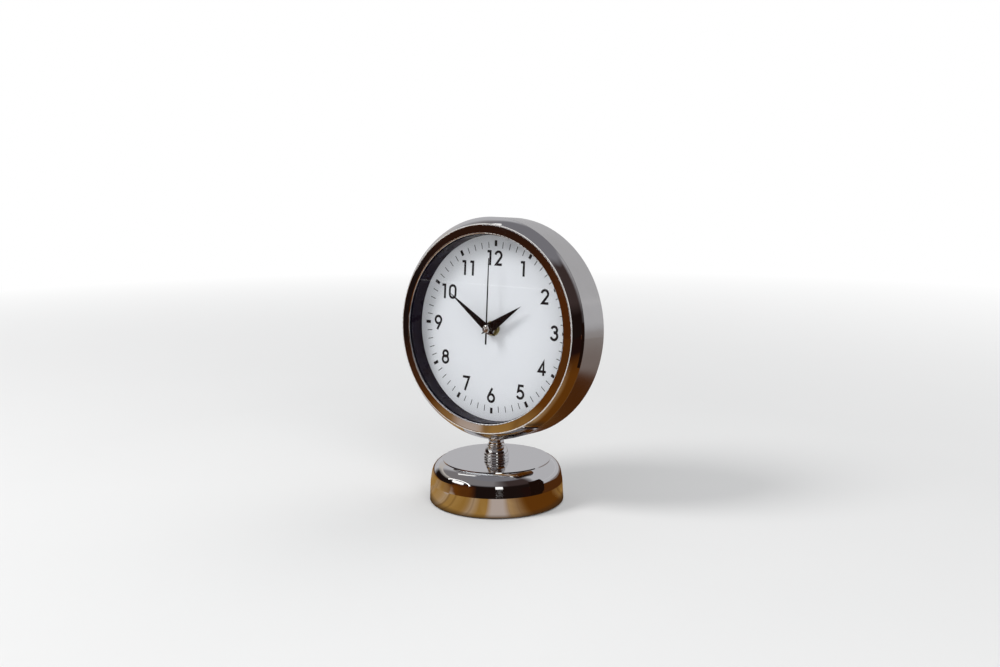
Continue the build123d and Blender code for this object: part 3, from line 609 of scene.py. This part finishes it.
# ------------------------------------------------------------------ dial print
TOP = (DIGIT_HEIGHT - STROKE) / 2               # centreline of a top or bottom stroke
EDGE = DIGIT_HEIGHT / 2                         # end of an upright stroke
WIDE = 2.45                                     # centreline half width of a round digit


def six():
    """Round bowl with a straight slanting stem that leaves it at a tangent."""
    bowl, tip = 2.5, (0.75, EDGE)
    centre = (0.0, bowl - TOP)
    reach = hypot(tip[0] - centre[0], tip[1] - centre[1])
    towards = atan2(tip[1] - centre[1], tip[0] - centre[0])
    at = towards + (pi / 2 - atan2(bowl, (reach**2 - bowl**2) ** 0.5))
    touch = (centre[0] + bowl * cos(at), centre[1] + bowl * sin(at))
    return [(circle(centre, bowl, 36), True), ([touch, tip], False)]


def half_turned(strokes):
    """The same figure upside down, as a 9 is to a 6."""
    return [([(-x, -y) for x, y in path], closed) for path, closed in strokes]


def digit(figure):
    """Strokes of a figure: (centreline, closed) pairs about its middle."""
    if figure == 0:
        rounds = arc((0, TOP - WIDE), WIDE, 0, 180) + arc((0, WIDE - TOP), WIDE, 180, 360)
        return [(rounds, True)]
    if figure == 1:
        return [([(0.8, -EDGE), (0.8, EDGE)], False), ([(-1.65, TOP), (0.9, TOP)], False)]
    if figure == 2:
        top = arc((0, TOP - 2.35), 2.4, 172, -38)
        return [(top + [(-1.7, -TOP), (2.95, -TOP)], False)]
    if figure == 3:
        upper, lower = arc((0, TOP - 2.05), 2.05, 165, -90), arc((0, 2.35 - TOP), 2.4, 100, -165)
        return [(upper, False), (lower, False)]
    if figure == 4:
        return [([(1.25, -EDGE), (1.25, 3.9), (-2.35, -2.35), (3.2, -2.35)], False)]
    if figure == 5:
        bowl = arc((-0.1, 2.6 - TOP), 2.55, 128, -155)
        return [([(2.5, TOP), (-1.1, TOP)] + bowl, False)]
    if figure == 6:
        return six()
    if figure == 7:
        return [([(-2.95, TOP), (2.3, TOP), (-0.9, -EDGE)], False)]
    if figure == 8:
        upper, lower = 2.0, 2.4
        return [(circle((0, TOP - upper), upper, 32), True), (circle((0, lower - TOP), lower, 32), True)]
    return half_turned(six())


def extent(strokes):
    """Lowest and highest X that the ink reaches."""
    xs = [x for path, _ in strokes for x, _ in path]
    return min(xs) - STROKE / 2, max(xs) + STROKE / 2


def numeral(number):
    """One hour's figures, centred on their place on the dial."""
    figures = [digit(int(letter)) for letter in str(number)]
    widths = [high - low for low, high in map(extent, figures)]
    at = -(sum(widths) + DIGIT_GAP * (len(widths) - 1)) / 2
    centre = NUMERAL_CENTRES[number]
    strokes = []
    for figure, width in zip(figures, widths):
        shift = at - extent(figure)[0]
        for path, closed in figure:
            placed = [(x + shift + centre[0], y + centre[1]) for x, y in path]
            strokes.append(stroke_object(placed, closed))
        at += width + DIGIT_GAP
    finish_piece(joined(strokes, f"numeral_{number}"), INK)


def marks(name, inner, outer, width, minutes):
    """Radial marks as one piece."""
    bm = bmesh.new()
    for minute in minutes:
        a = radians(90 - MINUTE_STEP * minute + MARKS_TURN)
        prism(bm, [(r * cos(a), r * sin(a) + MARKS_RISE) for r in (inner, outer)], width)
    finish_piece(mesh_object(name, bm), INK)


marks("minute_marks", *MINUTE_MARK, [minute for minute in range(60) if minute % 5])
marks("hour_marks", *HOUR_MARK, range(0, 60, 5))
for hour in range(1, 13):
    numeral(hour)


# ------------------------------------------------------------------ painted highlight rings on the bezel
def bead(name, ring, height, radius):
    """Thin pale ring that runs round the bezel, a painted highlight line."""
    bm = bmesh.new()
    section = circle((ring, height), radius, BEAD_ACROSS)
    rows = []
    for i in range(BEAD_AROUND):
        a = 2 * pi * i / BEAD_AROUND
        rows.append([bm.verts.new((r * cos(a), r * sin(a), z)) for r, z in section])
    for i, here in enumerate(rows):
        after = rows[(i + 1) % BEAD_AROUND]
        for k in range(BEAD_ACROSS):
            beside = (k + 1) % BEAD_ACROSS
            bm.faces.new((here[k], here[beside], after[beside], after[k]))
    for face in bm.faces:
        face.smooth = True
    finish_piece(mesh_object(name, bm), PAINTED_HIGHLIGHT_LINE)


# painted highlights: pale lines along the bezel's crest and inner lip
bead("crest_highlight_bead", *CREST_HIGHLIGHT_BEAD)
bead("lip_highlight_bead", *LIP_HIGHLIGHT_BEAD)


# ------------------------------------------------------------------ stage
def disc(name, radius, height):
    """Level round sheet, in metres."""
    bm = bmesh.new()
    bmesh.ops.create_circle(bm, cap_ends=True, segments=DISC_SIDES, radius=radius,
                            matrix=Matrix.Translation((0, 0, height)))
    return mesh_object(name, bm, Matrix.Identity(4))


def floor():
    """Plain pale floor that takes the object's soft shadow and turns white in the distance."""
    m = Surface("floor_pale", (0.8, 0.795, 0.785), 1.0, Specular_IOR_Level=0.0)
    m.tint(m.ramp(m.noise(160, 3), 0.4, 0.7, 0.0, 0.3), (0.785, 0.78, 0.77))
    path, shine = m.node("ShaderNodeLightPath"), m.node("ShaderNodeEmission")
    distance = m.ramp(m.from_axis(), 350, 1500)
    m.give_way(m.times(path.outputs["Is Camera Ray"], distance), shine.outputs["Emission"])
    piece = disc("floor", FLOOR_RADIUS, 0)
    piece.data.materials.append(m.material)


def reflected(piece, surface, strength=1.0):
    """Stage piece that glows and only shows in reflections."""
    surface.glow(strength)
    piece.data.materials.append(surface.material)
    piece.visible_camera = piece.visible_diffuse = piece.visible_shadow = False


def card_room():
    """What the chrome mirrors round it: pale wall, dark furniture in front, window at the left, grey ceiling.

    Heights and distances are in millimetres, bearings in degrees. Later tints cover earlier ones.
    """
    m = Surface("card_room", (0.49, 0.485, 0.5), 1.0)
    height = m.axis("Z")
    front = m.ramp(m.axis("Y"), 900, 300)
    rail = m.band(height, (600, 615), (660, 675))
    window = m.band(height, (780, 860), (1290, 1370))
    furniture = m.times(front, m.falling(height, 780, 1250))
    warm_wood = m.times(m.facing(-24, 26), m.falling(height, 300, 900))
    ceiling = m.ramp(height, 2350, 2550)
    m.tint(rail, (0.62, 0.61, 0.62))
    m.tint(front, (0.2, 0.187, 0.19))
    m.tint(m.times(m.facing(88, 60), front), (0.045, 0.03, 0.028))
    m.tint(m.times(window, m.facing(-88, 44)), (0.52, 0.48, 0.44))
    m.tint(furniture, (0.011, 0.006, 0.005))
    m.tint(warm_wood, (0.075, 0.02, 0.004))
    m.tint(ceiling, (0.19, 0.185, 0.2))
    bm = bmesh.new()
    bmesh.ops.create_icosphere(bm, subdivisions=5, radius=ROOM_RADIUS)
    reflected(mesh_object("card_room", bm, Matrix.Identity(4)), m)


def card_table():
    """Warm polished table in place of the floor, streaked near the base; the wall goes on behind it.

    Distances from the clock's axis are in millimetres, bearings in degrees. Later tints cover earlier ones.
    """
    m = Surface("card_table", (0.36, 0.2, 0.055), 1.0)
    far, back, bearing = m.from_axis(), m.axis("Y"), m.bearing()
    grain = m.ramp(m.noise(60, 4, m.stretched((1, 0.15, 1))), 0.45, 0.7)
    pale_rays = m.ramp(m.noise(0.5, 2, bearing), 0.45, 0.65)
    dark_rays = m.ramp(m.noise(0.13, 2, bearing), 0.55, 0.7)
    m.tint(grain, (0.26, 0.125, 0.02))
    m.tint(m.times(pale_rays, 0.6), (0.48, 0.37, 0.26))
    m.tint(m.times(dark_rays, 0.5), (0.09, 0.03, 0.006))

    left_dark = m.times(m.ramp(far, 250, 420), m.facing(-88, 50))
    right_dark = m.times(m.ramp(far, 200, 450), m.facing(85, 70))
    warm_wood = m.times(m.ramp(far, 400, 600), m.facing(-24, 26))
    m.tint(m.facing(95, 42), (0.12, 0.038, 0.004))
    m.tint(m.ramp(far, 140, 320), (0.12, 0.036, 0.004))
    m.tint(left_dark, (0.014, 0.006, 0.006))
    m.tint(m.ramp(far, 500, 1300), (0.012, 0.006, 0.005))
    m.tint(right_dark, (0.014, 0.005, 0.004))
    m.tint(warm_wood, (0.09, 0.028, 0.005))
    for azimuth, near, width in ((-38, 82, 6), (37, 45, 13)):
        streak = m.band(far, (near, near + 8), (150, 330))
        m.tint(m.times(m.facing(azimuth, width), streak), (0.46, 0.38, 0.33))

    contact_shade = m.ramp(far, 58, 45)
    table_back, wall_foot = m.ramp(back, 40, 75), m.ramp(back, 150, 180)
    wall, wall_top = m.ramp(back, 250, 700), m.ramp(back, 900, 1300)
    m.tint(contact_shade, (0.05, 0.025, 0.01))
    m.tint(table_back, (0.075, 0.023, 0.005))
    m.tint(wall_foot, (0.21, 0.17, 0.155))
    m.tint(wall, (0.3, 0.27, 0.26))
    m.tint(wall_top, (0.43, 0.425, 0.44))
    reflected(disc("card_table", TABLE_RADIUS, TABLE_HEIGHT), m)


def aimed(at, forward):
    """Rotation that turns that local axis from a place towards the clock, local Y upwards."""
    return (Vector(CLOCK) - Vector(at)).to_track_quat(forward, "Y")


def facing_clock(at):
    """Placement whose Z axis points at the clock, its Y axis upwards."""
    return Matrix.Translation(at) @ aimed(at, "Z").to_matrix().to_4x4()


def card_piece(name, bm, color, placement, strength):
    """Glowing card out of a bmesh in metres, a little uneven in colour."""
    m = Surface(name, color, 1.0)
    m.tint(m.ramp(m.noise(90, 2), 0.4, 0.6, 0.0, 0.5), tuple(channel * 0.6 for channel in color))
    reflected(mesh_object(name, bm, placement), m, strength)


def card(name, color, width, height, at, strength=1.0):
    """Plain rectangle that faces the clock."""
    bm = bmesh.new()
    bmesh.ops.create_grid(bm, x_segments=1, y_segments=1, size=0.5,
                          matrix=Matrix.Diagonal((width, height, 1, 1)))
    card_piece(name, bm, color, facing_clock(at), strength)


def card_wedge(name, color, azimuth, half_angle, near, far, height, strength):
    """Level sector of a ring round the clock's axis, as high as the dial.

    The dial sees it edge-on, and the base sees it from below as a bright window. Angles are in degrees.
    """
    bm = bmesh.new()
    corners = ((near, -half_angle), (near, half_angle), (far, half_angle), (far, -half_angle))
    bm.faces.new([bm.verts.new((r * sin(radians(azimuth + a)), -r * cos(radians(azimuth + a)), height))
                  for r, a in corners])
    card_piece(name, bm, color, Matrix.Identity(4), strength)


def card_arch(name, color, radius, width, start, end, at, strength):
    """Curved strip light that faces the clock, too wide for the flat of the bezel to mirror it."""
    bm = bmesh.new()
    inner, outer = (arc((0, 0), reach, start, end, ARCH_STEPS) for reach in (radius, radius + width))
    rows = [(bm.verts.new((*a, 0)), bm.verts.new((*b, 0))) for a, b in zip(inner, outer)]
    for (a, b), (c, d) in zip(rows, rows[1:]):
        bm.faces.new((a, b, d, c))
    card_piece(name, bm, color, facing_clock(at), strength)


def lamp(name, power, size, at):
    """Round softbox aimed at the clock; reflections show the cards and not the lamps."""
    light = bpy.data.lights.new(name, "AREA")
    light.shape, light.size, light.energy = "DISK", size, power
    holder = bpy.data.objects.new(name, light)
    bpy.context.scene.collection.objects.link(holder)
    holder.location = at
    holder.rotation_euler = aimed(at, "-Z").to_euler()
    holder.visible_glossy = False


def world():
    """Even soft light; camera, glossy and transmission rays see white."""
    scene = bpy.context.scene
    scene.world = bpy.data.worlds.new("studio")
    scene.world.use_nodes = True
    tree = scene.world.node_tree
    tree.nodes.clear()
    path, output, mix = (tree.nodes.new(kind) for kind in
                         ("ShaderNodeLightPath", "ShaderNodeOutputWorld", "ShaderNodeMixShader"))
    soft, white = tree.nodes.new("ShaderNodeBackground"), tree.nodes.new("ShaderNodeBackground")
    soft.inputs["Color"].default_value = (*SKY, 1.0)
    soft.inputs["Strength"].default_value = SKY_STRENGTH
    white.inputs["Color"].default_value = (1.0, 1.0, 1.0, 1.0)
    seen = path.outputs["Is Camera Ray"]
    for ray in ("Is Glossy Ray", "Is Transmission Ray"):
        either = tree.nodes.new("ShaderNodeMath")
        either.operation = "MAXIMUM"
        tree.links.new(seen, either.inputs[0])
        tree.links.new(path.outputs[ray], either.inputs[1])
        seen = either.outputs["Value"]
    tree.links.new(seen, mix.inputs["Fac"])
    tree.links.new(soft.outputs["Background"], mix.inputs[1])
    tree.links.new(white.outputs["Background"], mix.inputs[2])
    tree.links.new(mix.outputs["Shader"], output.inputs["Surface"])
    scene.view_settings.view_transform = "Standard"


def camera():
    """Camera at the photograph's viewing angle."""
    data = bpy.data.cameras.new("camera")
    data.lens, data.sensor_width = CAMERA_LENS, CAMERA_SENSOR
    holder = bpy.data.objects.new("camera", data)
    bpy.context.scene.collection.objects.link(holder)
    holder.location = CAMERA_AT
    holder.rotation_euler = Euler([radians(a) for a in CAMERA_TURN], "XYZ")
    bpy.context.scene.camera = holder


floor()
world()
camera()
card_room()
card_table()
card("card_book", BOOK_DARK, width=0.12, height=0.2, at=(0.24, 0.06, 0.05))
card_arch("card_arch", WINDOW_WHITE, radius=0.272, width=0.03, start=25, end=170,
          at=(-0.353, -0.5, 0.095), strength=2.5)
card_wedge("card_glint_left", WINDOW_WHITE, azimuth=-34, half_angle=12, near=0.3, far=0.66,
           height=0.145, strength=1.4)
card("card_glint_right", WINDOW_WHITE, width=0.11, height=0.16, at=(0.34, -0.4, 0.11), strength=1.4)
card("card_window_high", WINDOW_WHITE, width=0.12, height=0.3, at=(-0.446, -0.05, 0.806), strength=1.2)
for lamp_settings in LAMPS:
    lamp(*lamp_settings)
